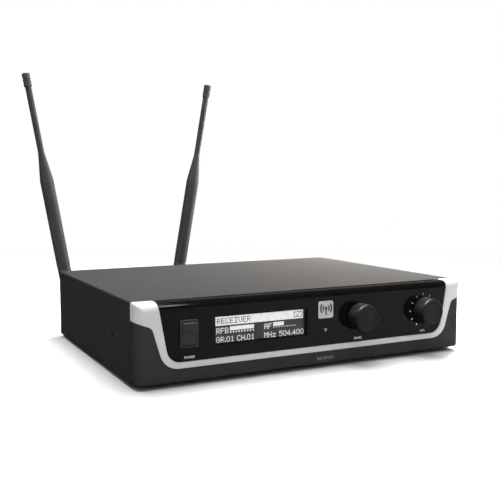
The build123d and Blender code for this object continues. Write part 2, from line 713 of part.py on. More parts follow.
def place_antenna(name, piece):
    return Pos(ANTENNA_X[name], PIVOT_Y, ANTENNA_HEIGHT) * Rot(0, ANTENNA_TILT[name], 0) * piece


def plug_collar(name):
    """Ribbed bayonet ring: its lip holds the socket's lugs until a quarter turn frees them."""
    x = ANTENNA_X[name]
    z = ANTENNA_HEIGHT
    teeth = []
    for i in range(2 * COLLAR_RIBS):
        radius = COLLAR_RADIUS - (0.35 if i % 2 else 0.0)
        angle = math.pi * i / COLLAR_RIBS
        teeth.append((x + radius * math.cos(angle), z + radius * math.sin(angle)))
    ring = front_prism(outline(teeth), (COLLAR_START + 1.5, COLLAR_END - 1.5))
    ring = ring + rod_y(x, z, (COLLAR_START, COLLAR_END), COLLAR_RADIUS - 0.5)
    lip_back = LUG_Y - LUG_RADIUS - 0.15
    ring = ring - rod_y(x, z, (lip_back, SOCKET_END + 0.6), LUG_REACH + 0.25)
    ring = ring - rod_y(x, z, (COLLAR_START - 1, SOCKET_END), SOCKET_THREAD_RADIUS + 0.1)
    way_in = LUG_RADIUS + 0.2
    ring = ring - span((x - LUG_REACH - 0.2, x + LUG_REACH + 0.2), (COLLAR_START - 1, lip_back + 0.5),
                       (z - way_in, z + way_in))
    return ring - rod_y(x, z, (COLLAR_START, COLLAR_END + 1), NECK_RADIUS + RUNNING_FIT)


def antenna_elbow(name):
    """Turning neck that runs in the collar and carries the fork of the fold joint."""
    neck_start = SOCKET_END - 5 - PIVOT_Y
    neck = rod_y(0, 0, (neck_start, -6.5), NECK_RADIUS)
    flange = rod_y(0, 0, (COLLAR_END - PIVOT_Y + 0.1, -6.0), 6.0)
    block = side_prism(Circle(FORK_RADIUS) + Pos(-3.5, 0) * Rectangle(7.0, 2 * FORK_RADIUS),
                       (-FORK_HALF_WIDTH, FORK_HALF_WIDTH))
    block = fillet(block.edges().filter_by(Axis.Y), 0.8)
    body = neck + flange + block
    slot = (-SLOT_HALF_WIDTH, SLOT_HALF_WIDTH)
    body = body - span(slot, (-5.2, 8), (-8, 8))
    return place_antenna(name, body - rod_x(0, 0, (-7, 7), PIN_RADIUS + 0.02))


def hinge_pin(name):
    pin = rod_x(0, 0, (-FORK_HALF_WIDTH - 0.1, FORK_HALF_WIDTH + 0.1), PIN_RADIUS)
    return place_antenna(name, chamfer(pin.edges().filter_by(GeomType.CIRCLE), 0.2))


def antenna_root(name):
    """Rigid foot of the whip: a tongue on the pin, and the round seat below the ring groove."""
    tongue = side_prism(Circle(TONGUE_RADIUS) + Pos(0, 4.0) * Rectangle(8.2, 8.0),
                        (-TONGUE_HALF_WIDTH, TONGUE_HALF_WIDTH))
    seat = rod_z(0, 0, (6.6, ROOT_TOP), WHIP_THICK_RADIUS)
    seat = fillet(seat.edges().group_by(Axis.Z)[0], 1.0)
    seat = chamfer(seat.edges().group_by(Axis.Z)[-1], 0.3)
    neck = rod_z(0, 0, (ROOT_TOP - 1, SLEEVE_BOTTOM + 3), WHIP_THICK_RADIUS - GROOVE_DEPTH - 0.02)
    body = tongue + seat + neck
    return place_antenna(name, body - rod_x(0, 0, (-4, 4), PIN_RADIUS + RUNNING_FIT))


def antenna_whip(name):
    """Moulded sleeve, long taper and thin flexible rod, turned about its own axis."""
    thick = WHIP_THICK_RADIUS
    thin = WHIP_THIN_RADIUS
    half = make_face(Polyline(
        (0, SLEEVE_BOTTOM + 3), (thick - GROOVE_DEPTH, SLEEVE_BOTTOM + 3),
        (thick - GROOVE_DEPTH, SLEEVE_BOTTOM),
        (thick, SLEEVE_BOTTOM), (thick, SLEEVE_TOP), (thin, TAPER_TOP), (thin, ROD_TOP),
        (thin - 0.5, ROD_TOP), (thin - 0.5, ROD_TOP + 3), (0, ROD_TOP + 3), close=True))
    body = revolve(Plane.XZ * half, Axis.Z)
    shoulder = [e for e in body.edges().filter_by(GeomType.CIRCLE)
                if abs(e.center().Z - SLEEVE_TOP) < 0.1 or abs(e.center().Z - TAPER_TOP) < 0.1]
    return place_antenna(name, fillet(shoulder, 8.0))


def tip_cap(name):
    """Hard cap pushed over the rod's end, with two turned grooves."""
    cap = rod_z(0, 0, (ROD_TOP, WHIP_TIP), TIP_RADIUS)
    cap = fillet(cap.edges().group_by(Axis.Z)[-1], 0.8)
    cap = chamfer(cap.edges().group_by(Axis.Z)[0], 0.3)
    for z in (ROD_TOP + 2.6, ROD_TOP + 5.0):
        ring = rod_z(0, 0, (z, z + 0.6), TIP_RADIUS + 1) - rod_z(0, 0, (z - 1, z + 2), TIP_RADIUS - 0.25)
        cap = cap - ring
    return place_antenna(name, cap - rod_z(0, 0, (ROD_TOP - 1, ROD_TOP + 3.1), WHIP_THIN_RADIUS - 0.48))


# ---- every piece, by name ----

write("chassis_base", chassis_base())
write("top_cover", top_cover())
write("cover_screws", cover_screws())
write("rack_ear_nuts", rack_ear_nuts())
write("rubber_feet", rubber_feet())
write("front_bezel", front_bezel())
write("bezel_screws", bezel_screws())
write("silver_trim", silver_trim())
write("fascia_panel", fascia_panel())
write("badge_plate", badge_plate())
write("infrared_window", infrared_window())
write("infrared_led", infrared_led())
write("display_window", display_window())
write("oled_panel", oled_panel())
write("oled_carrier", oled_carrier())
write("front_board", front_board())
write("front_board_screws", front_board_screws())
write("switch_housing", switch_housing())
write("power_rocker", power_rocker())
write("switch_terminals", switch_terminals())
write("func_knob", knob(FUNC_X))
write("func_shaft", func_shaft())
write("encoder_rotor", encoder_rotor())
write("encoder_body", control_body(FUNC_X))
write("encoder_nut", control_nut(FUNC_X))
write("volume_knob", knob(VOLUME_X))
write("volume_shaft", volume_shaft())
write("volume_pot_body", control_body(VOLUME_X))
write("volume_nut", control_nut(VOLUME_X))
write("main_board", main_board())
write("board_standoffs", board_standoffs())
write("board_screws", board_screws())
write("tuner_shield_a", tuner_shield(-74))
write("tuner_shield_b", tuner_shield(-14))
write("antenna_leads", antenna_leads())
write("flat_cable", flat_cable())
write("xlr_shell", xlr_shell())
write("xlr_insert", xlr_insert())
write("xlr_pins", xlr_pins())
write("xlr_screws", xlr_screws())
write("jack_body", jack_body())
write("jack_nut", jack_nut())
write("dc_inlet", dc_inlet())
write("dc_pin", dc_pin())
for side_name in ANTENNA_X:
    write(f"antenna_{side_name}_socket", antenna_socket(ANTENNA_X[side_name]))
    write(f"antenna_{side_name}_collar", plug_collar(side_name))
    write(f"antenna_{side_name}_elbow", antenna_elbow(side_name))
    write(f"antenna_{side_name}_hinge_pin", hinge_pin(side_name))
    write(f"antenna_{side_name}_root", antenna_root(side_name))
    write(f"antenna_{side_name}_whip", antenna_whip(side_name))
    write(f"antenna_{side_name}_tip_cap", tip_cap(side_name))
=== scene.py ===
import json
import math

import bmesh
import bpy
from mathutils import Matrix, Vector


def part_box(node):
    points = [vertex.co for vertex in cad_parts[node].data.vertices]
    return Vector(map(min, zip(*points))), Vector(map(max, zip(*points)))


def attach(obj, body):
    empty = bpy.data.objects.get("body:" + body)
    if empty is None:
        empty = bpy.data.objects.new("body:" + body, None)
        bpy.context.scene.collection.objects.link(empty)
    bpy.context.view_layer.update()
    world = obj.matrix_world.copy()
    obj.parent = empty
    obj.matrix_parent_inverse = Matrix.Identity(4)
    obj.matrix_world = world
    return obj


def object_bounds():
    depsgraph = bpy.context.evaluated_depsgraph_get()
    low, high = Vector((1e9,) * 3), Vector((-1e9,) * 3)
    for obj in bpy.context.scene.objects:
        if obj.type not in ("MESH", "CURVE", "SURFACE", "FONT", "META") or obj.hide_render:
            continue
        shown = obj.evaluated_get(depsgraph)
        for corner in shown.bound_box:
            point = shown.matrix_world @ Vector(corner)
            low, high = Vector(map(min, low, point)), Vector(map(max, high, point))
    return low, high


# Looks of the wireless receiver unit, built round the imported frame.  Everything is in metres.
# The front of the case faces -Y and +X is to its right.

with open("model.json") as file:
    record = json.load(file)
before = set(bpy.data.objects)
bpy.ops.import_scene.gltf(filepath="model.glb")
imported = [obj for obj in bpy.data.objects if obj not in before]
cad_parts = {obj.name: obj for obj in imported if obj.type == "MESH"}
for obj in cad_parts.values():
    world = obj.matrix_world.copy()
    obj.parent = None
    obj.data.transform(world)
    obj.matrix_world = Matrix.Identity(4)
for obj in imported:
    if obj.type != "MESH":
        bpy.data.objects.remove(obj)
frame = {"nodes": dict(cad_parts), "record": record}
CAD_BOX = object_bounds()
NODES = frame["nodes"]
MM = 0.001
WHITE = (1, 1, 1)


def low(node):
    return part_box(node)[0]


def high(node):
    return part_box(node)[1]


def middle(node):
    return (low(node) + high(node)) / 2


# ---- places taken from the frame ----

FASCIA_Y = low("fascia_panel").y
BEZEL_Y = low("front_bezel").y
REAR_Y = high("chassis_base").y
PANEL = middle("oled_panel")
PANEL_Y = low("oled_panel").y
FUNC = middle("func_knob")
VOLUME = middle("volume_knob")
SWITCH = middle("switch_housing")
BADGE = middle("badge_plate")
SENSOR = middle("infrared_window")


# ---- shader helpers ----

FINISHES = {}
NOISE_RANGE = (0.3, 0.7)
PATCH = 12 * MM
RIM_SHADE_BLEND = 0.4
BEVEL_SAMPLES = 6


def set_inputs(tree, node, inputs):
    """Join the inputs that are given a socket, and set the ones that are given a value."""
    for key, value in inputs.items():
        if isinstance(value, bpy.types.NodeSocket):
            tree.links.new(value, node.inputs[key])
        else:
            node.inputs[key].default_value = value


def add_node(tree, kind, inputs, **settings):
    node = tree.nodes.new(kind)
    for key, value in settings.items():
        setattr(node, key, value)
    set_inputs(tree, node, inputs)
    return node


def shader(name):
    """A new finish: its tree, its principled shader and an object-space coordinate in metres."""
    material = bpy.data.materials.new(name)
    material.use_nodes = True
    FINISHES[name] = material
    tree = material.node_tree
    place = add_node(tree, "ShaderNodeTexCoord", {}).outputs["Object"]
    return tree, tree.nodes["Principled BSDF"], place


def noise(tree, place, grain, detail=2.0, stretch=(1, 1, 1)):
    """Noise whose features are about `grain` metres across."""
    scale = [s / grain for s in stretch]
    scaled = add_node(tree, "ShaderNodeMapping", {"Vector": place, "Scale": scale})
    inputs = {"Vector": scaled.outputs["Vector"], "Scale": 1.0, "Detail": detail}
    return add_node(tree, "ShaderNodeTexNoise", inputs).outputs["Fac"]


def remap(tree, value, span, result, shape="LINEAR"):
    """A number that runs over `result` as value runs over `span`."""
    inputs = {
        "Value": value,
        "From Min": span[0], "From Max": span[1],
        "To Min": result[0], "To Max": result[1],
    }
    node = add_node(tree, "ShaderNodeMapRange", inputs, interpolation_type=shape)
    return node.outputs["Result"]


def tint(tree, value, first, second):
    """A colour that runs from first to second over the usual range of noise."""
    ramp = add_node(tree, "ShaderNodeValToRGB", {"Fac": value})
    for stop, position, colour in zip(ramp.color_ramp.elements, NOISE_RANGE, (first, second)):
        stop.position = position
        stop.color = (*colour, 1)
    return ramp.outputs["Color"]


def painted_rim_shade(tree, colour, rim_shade):
    """Painted shade: the colour, going over to a dark shade colour where the surface turns away from
    the viewer.
    """
    facing = add_node(tree, "ShaderNodeLayerWeight", {"Blend": RIM_SHADE_BLEND}).outputs["Facing"]
    inputs = {"Fac": facing, "Color1": colour, "Color2": (*rim_shade, 1)}
    return add_node(tree, "ShaderNodeMixRGB", inputs).outputs["Color"]


def relief(tree, height, depth, edge):
    """Bump of that depth in metres, over edges softened to the radius `edge`."""
    inputs = {"Height": height, "Strength": 1.0, "Distance": depth}
    if edge:
        bevel = add_node(tree, "ShaderNodeBevel", {"Radius": edge}, samples=BEVEL_SAMPLES)
        inputs["Normal"] = bevel.outputs["Normal"]
    return add_node(tree, "ShaderNodeBump", inputs).outputs["Normal"]


def grey(value):
    return (value, value, value)


def surface(name, dark, light, rough, grain, depth, edge=0.0, metallic=0.0, specular=0.5,
            stretch=(1, 1, 1), rim_shade=None):
    """A finish whose colour drifts in patches; its roughness and relief follow a finer grain."""
    tree, principled, place = shader(name)
    colour = tint(tree, noise(tree, place, PATCH, 3.0), dark, light)
    # painted shade: darker where the surface turns away from the viewer
    if rim_shade:
        colour = painted_rim_shade(tree, colour, rim_shade)
    fine = noise(tree, place, grain, stretch=stretch)
    set_inputs(tree, principled, {
        "Base Color": colour,
        "Roughness": remap(tree, fine, NOISE_RANGE, rough),
        "Metallic": metallic,
        "Specular IOR Level": specular,
        "Normal": relief(tree, fine, depth, edge),
    })


def clear_pane(name):
    """Thin clear pane: mostly see-through, with a faint smoke and a gloss that varies a little."""
    tree, principled, place = shader(name)
    drift = noise(tree, place, 20 * MM)
    set_inputs(tree, principled, {
        "Base Color": tint(tree, drift, grey(0.01), grey(0.014)),
        "Roughness": remap(tree, drift, NOISE_RANGE, (0.03, 0.06)),
        "Alpha": 0.12,
        "Specular IOR Level": 0.5,
    })


def glowing(name, colour, strength):
    """Light of the display: its lit dots, and a painted glow on its dark field; slightly uneven from
    place to place.
    """
    tree, principled, place = shader(name)
    drift = noise(tree, place, 2.5 * MM)
    even = tint(tree, drift, [c * 0.9 for c in colour], colour)
    set_inputs(tree, principled, {
        "Base Color": even,
        "Emission Color": even,
        "Emission Strength": strength,
        "Roughness": 0.5,
    })


# ---- finishes ----

# painted and plated metal
surface("cover_paint", grey(0.025), grey(0.028), rough=(0.40, 0.50), grain=0.7 * MM,
        depth=0.02 * MM, edge=0.3 * MM, specular=0.4)
surface("chassis_paint", grey(0.016), grey(0.021), rough=(0.5, 0.62), grain=0.6 * MM,
        depth=0.03 * MM, edge=0.2 * MM, specular=0.3)
surface("badge_silver", grey(0.50), grey(0.56), rough=(0.32, 0.42), grain=0.3 * MM,
        depth=0.006 * MM, edge=0.1 * MM, metallic=0.3, stretch=(0.08, 1, 1))
surface("screw_black", grey(0.018), grey(0.03), rough=(0.32, 0.46), grain=0.5 * MM,
        depth=0.01 * MM, edge=0.1 * MM, metallic=0.6)
surface("steel_plain", grey(0.42), grey(0.55), rough=(0.28, 0.42), grain=0.4 * MM,
        depth=0.008 * MM, edge=0.1 * MM, metallic=1.0)
surface("contact_nickel", (0.55, 0.53, 0.50), (0.66, 0.64, 0.60), rough=(0.2, 0.34),
        grain=0.5 * MM, depth=0.008 * MM, edge=0.2 * MM, metallic=1.0)
surface("contact_brass", (0.55, 0.38, 0.16), (0.66, 0.48, 0.22), rough=(0.26, 0.4),
        grain=0.5 * MM, depth=0.008 * MM, metallic=1.0)

# moulded front and its controls
surface("bezel_plastic", grey(0.027), grey(0.031), rough=(0.46, 0.58), grain=0.5 * MM,
        depth=0.025 * MM, edge=0.3 * MM, specular=0.25)
surface("fascia_gloss", grey(0.003), grey(0.004), rough=(0.06, 0.10), grain=4 * MM,
        depth=0.003 * MM, edge=0.2 * MM)
surface("trim_silver", grey(0.48), grey(0.52), rough=(0.30, 0.38), grain=0.4 * MM,
        depth=0.006 * MM, edge=0.35 * MM)
surface("knob_black", grey(0.075), grey(0.085), rough=(0.40, 0.48), grain=0.4 * MM,
        depth=0.012 * MM, edge=0.1 * MM, metallic=0.9)
surface("switch_black", grey(0.028), grey(0.034), rough=(0.38, 0.5), grain=0.4 * MM,
        depth=0.015 * MM, edge=0.2 * MM, specular=0.35)
surface("infrared_dark", (0.006, 0.004, 0.005), (0.009, 0.005, 0.006), rough=(0.06, 0.12),
        grain=2 * MM, depth=0.003 * MM)
clear_pane("window_clear")

# antennas, feet and rear sockets
# both antenna finishes are darkened where they turn away from the viewer: painted shade
surface("antenna_plastic", grey(0.062), grey(0.072), rough=(0.42, 0.54), grain=0.4 * MM,
        depth=0.02 * MM, edge=0.2 * MM, specular=0.2, rim_shade=grey(0.004))
surface("antenna_sleeve", grey(0.050), grey(0.060), rough=(0.44, 0.54), grain=0.5 * MM,
        depth=0.012 * MM, specular=0.2, stretch=(1, 1, 0.3), rim_shade=grey(0.004))
surface("foot_rubber", grey(0.012), grey(0.018), rough=(0.7, 0.85), grain=0.4 * MM,
        depth=0.04 * MM, edge=0.2 * MM, specular=0.3)
surface("housing_black", grey(0.014), grey(0.02), rough=(0.4, 0.55), grain=0.5 * MM,
        depth=0.02 * MM, edge=0.2 * MM, specular=0.35)

# inside
surface("display_dark", grey(0.016), grey(0.02), rough=(0.2, 0.3), grain=3 * MM,
        depth=0.004 * MM)
surface("board_green", (0.008, 0.06, 0.03), (0.012, 0.09, 0.045), rough=(0.25, 0.4),
        grain=2 * MM, depth=0.01 * MM)
surface("cable_grey", grey(0.25), grey(0.32), rough=(0.45, 0.6), grain=1 * MM,
        depth=0.01 * MM)

# print and the display's light
surface("print_white", grey(0.62), grey(0.72), rough=(0.5, 0.6), grain=0.3 * MM,
        depth=0.004 * MM)
surface("print_grey", grey(0.20), grey(0.25), rough=(0.5, 0.6), grain=0.3 * MM,
        depth=0.004 * MM)
surface("print_black", grey(0.012), grey(0.018), rough=(0.4, 0.5), grain=0.3 * MM,
        depth=0.004 * MM)
glowing("lit_dots", (0.68, 0.69, 0.70), 0.90)
# the display's dark field glows faintly: painted light
glowing("painted_glow_field", (0.034, 0.035, 0.036), 1.0)

for part in frame["record"]["subparts"]:
    node = NODES[part["node"]]
    node.data.materials.clear()
    node.data.materials.append(FINISHES[part["material_slot"]])


# ---- mesh helpers ----


def add_piece(name, mesh, finish):
    """A new piece that rides on the case, with the finish given."""
    piece = bpy.data.objects.new(name, mesh)
    bpy.context.scene.collection.objects.link(piece)
    mesh.materials.clear()
    mesh.materials.append(FINISHES[finish])
    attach(piece, "case")


def finish_mesh(name, bm):
    bmesh.ops.recalc_face_normals(bm, faces=bm.faces)
    mesh = bpy.data.meshes.new(name)
    bm.to_mesh(mesh)
    bm.free()
    return mesh


def prism(bm, outline, y_back, y_front):
    """A closed prism from an outline of (x, z) points, between two Y planes."""
    back = [bm.verts.new((x, y_back, z)) for x, z in outline]
    front = [bm.verts.new((x, y_front, z)) for x, z in outline]
    count = len(outline)
    bm.faces.new(back)
    bm.faces.new(front[::-1])
    for i in range(count):
        j = (i + 1) % count
        bm.faces.new((back[i], front[i], front[j], back[j]))


def add_prisms(name, outlines, y_back, y_front, finish):
    """One piece made of a flat prism for every outline."""
    bm = bmesh.new()
    for outline in outlines:
        prism(bm, outline, y_back, y_front)
    add_piece(name, finish_mesh(name, bm), finish)


def rectangle(x, z, width, height):
    w, h = width / 2, height / 2
    return [(x - w, z - h), (x + w, z - h), (x + w, z + h), (x - w, z + h)]


def arc_band(centre, radius, width, start, stop, steps=14):
    """Outline of a flat curved band in X and Z; the angles are in degrees."""
    outer, inner = [], []
    for i in range(steps + 1):
        angle = math.radians(start + (stop - start) * i / steps)
        direction = Vector((math.cos(angle), math.sin(angle)))
        outer.append(centre + direction * (radius + width / 2))
        inner.append(centre + direction * (radius - width / 2))
    return [tuple(p) for p in outer + inner[::-1]]


# ---- the lit display ----

DOTS_WIDE, DOTS_HIGH = 128, 32
DOT_PITCH = Vector((0.422, 0.430)) * MM
DOT_SIZE = 0.40 * MM
DOT_DEPTH = 0.04 * MM
FIELD_DEPTH = 0.01 * MM

LETTERS = {
    "R": ("11110", "10001", "10001", "11110", "10100", "10010", "10001"),
    "E": ("11111", "10000", "10000", "11110", "10000", "10000", "11111"),
    "C": ("01110", "10001", "10000", "10000", "10000", "10001", "01110"),
    "I": ("11111", "00100", "00100", "00100", "00100", "00100", "11111"),
    "V": ("10001", "10001", "10001", "10001", "10001", "01010", "00100"),
    "F": ("11111", "10000", "10000", "11110", "10000", "10000", "10000"),
    "B": ("11110", "10001", "10001", "11110", "10001", "10001", "11110"),
    "A": ("01110", "10001", "10001", "11111", "10001", "10001", "10001"),
    "G": ("01110", "10001", "10000", "10111", "10001", "10001", "01110"),
    "H": ("10001", "10001", "10001", "11111", "10001", "10001", "10001"),
    "M": ("10001", "11011", "10101", "10101", "10001", "10001", "10001"),
    "z": ("00000", "00000", "11111", "00010", "00100", "01000", "11111"),
    "0": ("01110", "10001", "10001", "10001", "10001", "10001", "01110"),
    "1": ("00100", "01100", "00100", "00100", "00100", "00100", "01110"),
    "4": ("00010", "00110", "01010", "10010", "11111", "00010", "00010"),
    "5": ("11111", "10000", "11110", "00001", "00001", "10001", "01110"),
    ".": ("0", "0", "0", "0", "0", "1", "1"),
}

# The layout of the display, counted in dots from its top left.
TITLE_ROWS = 11
TITLE_START = (2, 2)
BOX_COLUMNS, BOX_ROWS = (113, 126), (2, 9)
TICK_CORNER = (118, 7)
TICK_SHORT, TICK_LONG = 3, 5
METER_ROW = 14
BAR_ROWS = (METER_ROW - 1, METER_ROW + 4)
MARK_ROW = METER_ROW + 5
MARK_PITCH, MARK_WIDTH = 4, 2
# each meter: its word and column, the columns of its bar and of its marks, the marks' height
METERS = [
    ("RFB", 1, (20, 54), (20, 54), 2),
    ("AF", 69, (82, 98), (82, 117), 1),
]
LAST_ROW = 25
LAST_WORDS = [("GR.01", 1), ("CH.01", 30), ("MHz", 69), ("504.400", 91)]


def block(columns, rows):
    return {(c, r) for c in range(*columns) for r in range(*rows)}


def write_dots(text, column, row):
    """The lit dots of a line of 5 by 7 letters whose top left dot is (column, row)."""
    dots = set()
    for letter in text:
        rows = LETTERS[letter]
        for r, line in enumerate(rows):
            dots |= {(column + c, row + r) for c, mark in enumerate(line) if mark == "1"}
        column += len(rows[0]) + 1
    return dots


def title_dots():
    """A lit bar with dark letters and, at its right end, a dark box that holds a tick."""
    bar = block((0, DOTS_WIDE - 1), (0, TITLE_ROWS))
    hollow = block((BOX_COLUMNS[0] + 1, BOX_COLUMNS[1] - 1), (BOX_ROWS[0] + 1, BOX_ROWS[1] - 1))
    box = block(BOX_COLUMNS, BOX_ROWS) - hollow
    column, row = TICK_CORNER
    tick = {(column - i, row - i) for i in range(TICK_SHORT)}
    tick |= {(column + i, row - i) for i in range(TICK_LONG)}
    return bar - write_dots("RECEIVER", *TITLE_START) - box - tick


def display_dots():
    """Title bar, signal and audio meters, then group, channel and frequency."""
    dots = title_dots()
    for word, column, bar, marks, mark_height in METERS:
        dots |= write_dots(word, column, METER_ROW) | block(bar, BAR_ROWS)
        for mark in range(*marks, MARK_PITCH):
            dots |= block((mark, mark + MARK_WIDTH), (MARK_ROW, MARK_ROW + mark_height))
    for word, column in LAST_WORDS:
        dots |= write_dots(word, column, LAST_ROW)
    return dots


def build_display():
    """A dark field with a faint painted glow, with the lit dots on it."""
    width = DOTS_WIDE * DOT_PITCH.x
    height = DOTS_HIGH * DOT_PITCH.y
    field_y = PANEL_Y - FIELD_DEPTH
    field = rectangle(PANEL.x, PANEL.z, width, height)
    add_prisms("display_field", [field], PANEL_Y, field_y, "painted_glow_field")
    left = PANEL.x - width / 2
    top = PANEL.z + height / 2
    squares = []
    for column, row in sorted(display_dots()):
        x = left + (column + 0.5) * DOT_PITCH.x
        z = top - (row + 0.5) * DOT_PITCH.y
        squares.append(rectangle(x, z, DOT_SIZE, DOT_SIZE))
    add_prisms("display_dots", squares, field_y, field_y - DOT_DEPTH, "lit_dots")


# ---- printed marks ----

INK = 0.03 * MM
LETTER_GAP = 1.08
LETTER_WEIGHT = 0.012
LETTER_STEPS = 6

LABEL_DROP = 12.5 * MM
LABEL_HEIGHT = 1.35 * MM
UNIT_WORD_RISE = 3.35 * MM
UNIT_WORD_SIZE = (11.0 * MM, 1.5 * MM)

TRIANGLE_SIDE_STEP = 0.5 * MM
TRIANGLE_TOP = 6.1 * MM
TRIANGLE_HALF_WIDTH = 1.05 * MM
TRIANGLE_HEIGHT = 2.0 * MM

DIAL_MARKS = 11
DIAL_RING = 9.7 * MM
DIAL_MARK_LENGTH = 1.3 * MM
DIAL_MARK_WIDTH = 0.40 * MM
DIAL_SWEEP = 150.0

ICON_RISE = 0.8 * MM
ICON_STROKE = 0.95 * MM
ICON_ARC_RADII = (2.0 * MM, 3.6 * MM)
ICON_ARC_HALF_ANGLE = 42
ICON_DOT_RADIUS, ICON_DOT_WIDTH = 0.45 * MM, 0.89 * MM
ICON_MAST_DROP = 2.2 * MM
ICON_MAST_SIZE = (0.9 * MM, 3.4 * MM)

REAR_WORD_RISE = 13.5 * MM
REAR_WORD_HEIGHT = 1.7 * MM


def add_ink(name, outlines, y, finish):
    """Thin ink on the plane at y."""
    add_prisms(name, outlines, y + INK, y - INK, finish)


def lettering(name, text, centre, width, height, finish, slot, rear=False):
    """A word in plain type, fitted to a width and a height, as thin ink on the surface."""
    curve = bpy.data.curves.new(name, "FONT")
    curve.body = text
    curve.align_x = "CENTER"
    curve.align_y = "CENTER"
    curve.space_character = LETTER_GAP
    curve.offset = LETTER_WEIGHT
    curve.resolution_u = LETTER_STEPS
    curve.extrude = 0.5
    source = bpy.data.objects.new(name + "_source", curve)
    bpy.context.scene.collection.objects.link(source)
    bpy.context.view_layer.update()
    mesh = bpy.data.meshes.new_from_object(source)
    bpy.data.objects.remove(source)
    xs = [v.co.x for v in mesh.vertices]
    ys = [v.co.y for v in mesh.vertices]
    size = (width / (max(xs) - min(xs)), height / (max(ys) - min(ys)), INK, 1)
    shift = Matrix.Translation((-(max(xs) + min(xs)) / 2, -(max(ys) + min(ys)) / 2, 0))
    turn = Matrix.Rotation(math.radians(90), 4, "X")
    if rear:
        turn = Matrix.Rotation(math.radians(180), 4, "Z") @ turn
    mesh.transform(Matrix.Translation(centre) @ turn @ Matrix.Diagonal(size) @ shift)
    add_piece(name, mesh, finish)


def build_front_print():
    """The words under the controls, the unit's word below them and the sensor's triangle."""
    words = [
        ("label_power", "POWER", SWITCH.x + 0.5 * MM, 5.8),
        ("label_func", "FUNC", FUNC.x, 5.4),
        ("label_vol", "VOL", VOLUME.x, 3.8),
    ]
    for name, text, x, width in words:
        centre = (x, FASCIA_Y, FUNC.z - LABEL_DROP)
        lettering(name, text, centre, width * MM, LABEL_HEIGHT, "print_white", "fascia_gloss")
    centre = (BADGE.x, BEZEL_Y, low("front_bezel").z + UNIT_WORD_RISE)
    lettering("label_unit", "RECEIVER", centre, *UNIT_WORD_SIZE, "print_grey", "bezel_plastic")
    x = SENSOR.x + TRIANGLE_SIDE_STEP
    top = SENSOR.z + TRIANGLE_TOP
    left, right = x - TRIANGLE_HALF_WIDTH, x + TRIANGLE_HALF_WIDTH
    triangle = [(left, top), (x, top - TRIANGLE_HEIGHT), (right, top)]
    add_ink("sync_triangle", [triangle], FASCIA_Y, "print_grey")


def build_dial_marks():
    """Dashes round the volume knob, over its turning range."""
    dashes = []
    centre = Vector((VOLUME.x, VOLUME.z))
    for i in range(DIAL_MARKS):
        angle = math.radians(-DIAL_SWEEP + 2 * DIAL_SWEEP * i / (DIAL_MARKS - 1))
        outward = Vector((math.sin(angle), math.cos(angle)))
        across = Vector((outward.y, -outward.x)) * DIAL_MARK_WIDTH / 2
        inner = centre + outward * (DIAL_RING - DIAL_MARK_LENGTH / 2)
        outer = centre + outward * (DIAL_RING + DIAL_MARK_LENGTH / 2)
        dashes.append([inner - across, inner + across, outer + across, outer - across])
    add_ink("dial_marks", dashes, FASCIA_Y, "print_white")


def build_badge_icon():
    """Plain radio-wave sign: a dot on a mast with two arcs each side."""
    centre = Vector((BADGE.x, BADGE.z + ICON_RISE))
    outlines = []
    for side in (0, 180):
        start, stop = side - ICON_ARC_HALF_ANGLE, side + ICON_ARC_HALF_ANGLE
        outlines += [arc_band(centre, radius, ICON_STROKE, start, stop) for radius in ICON_ARC_RADII]
    outlines.append(arc_band(centre, ICON_DOT_RADIUS, ICON_DOT_WIDTH, 0, 359))
    outlines.append(rectangle(centre.x, centre.y - ICON_MAST_DROP, *ICON_MAST_SIZE))
    add_ink("badge_icon", outlines, low("badge_plate").y, "print_black")


def build_rear_print():
    """Plain words beside the rear sockets."""
    z = middle("jack_body").z + REAR_WORD_RISE
    words = [
        ("rear_ant_a", "ANT A", middle("antenna_a_socket").x + 14 * MM, 8.0),
        ("rear_ant_b", "ANT B", middle("antenna_b_socket").x - 14 * MM, 8.0),
        ("rear_balanced", "BALANCED", middle("xlr_shell").x - 22 * MM, 12.0),
        ("rear_unbalanced", "UNBALANCED", middle("jack_nut").x + 1 * MM, 15.0),
        ("rear_dc_in", "DC IN", middle("dc_inlet").x, 7.5),
    ]
    for name, text, x, width in words:
        lettering(name, text, (x, REAR_Y, z), width * MM, REAR_WORD_HEIGHT, "print_white",
                  "chassis_paint", rear=True)


build_display()
build_front_print()
build_dial_marks()
build_badge_icon()
build_rear_print()


# ---- floor ----

FLOOR_RADIUS = 0.8
FLOOR_SEGMENTS = 96
FLOOR_FADE = (0.32, 0.76)


def build_floor():
    """A pale round floor that fades into the white surround well away from the object."""
    bm = bmesh.new()
    bmesh.ops.create_circle(bm, cap_ends=True, segments=FLOOR_SEGMENTS, radius=FLOOR_RADIUS)
    mesh = finish_mesh("floor", bm)
    floor = bpy.data.objects.new("floor", mesh)
    bpy.context.scene.collection.objects.link(floor)
    floor.location.z = CAD_BOX[0][2]
    floor.visible_glossy = False
    tree, principled, place = shader("floor_white")
    drift = noise(tree, place, 0.4)
    reach = add_node(tree, "ShaderNodeVectorMath", {0: place}, operation="LENGTH")
    set_inputs(tree, principled, {
        "Base Color": tint(tree, drift, grey(0.51), grey(0.53)),
        "Roughness": 0.9,
        "Specular IOR Level": 0.0,
        "Alpha": remap(tree, reach.outputs["Value"], FLOOR_FADE, (1.0, 0.0), "SMOOTHSTEP"),
    })
    mesh.materials.append(FINISHES["floor_white"])


# ---- surround ----

SURROUND_LEVEL = 0.035
# Each glow: the direction of its centre, the cosines over which it grows towards that, the heights
# over which it fades in and out again, its strength and its colour.
GLOWS = [
    {"centre": (0.75, 0.433, 0.5), "grow": (0.55, 1.0), "fade_in": (0.16, 0.32),
     "fade_out": (0.45, 0.75), "strength": 0.3, "colour": (1.0, 0.955, 0.915)},
    {"centre": (0.856, -0.507, -0.1), "grow": (0.55, 1.0), "fade_in": (-0.8, -0.5),
     "fade_out": (0.05, 0.25), "strength": 0.27, "colour": WHITE},
]


def product(tree, first, second):
    node = add_node(tree, "ShaderNodeMath", {0: first, 1: second}, operation="MULTIPLY")
    return node.outputs["Value"]


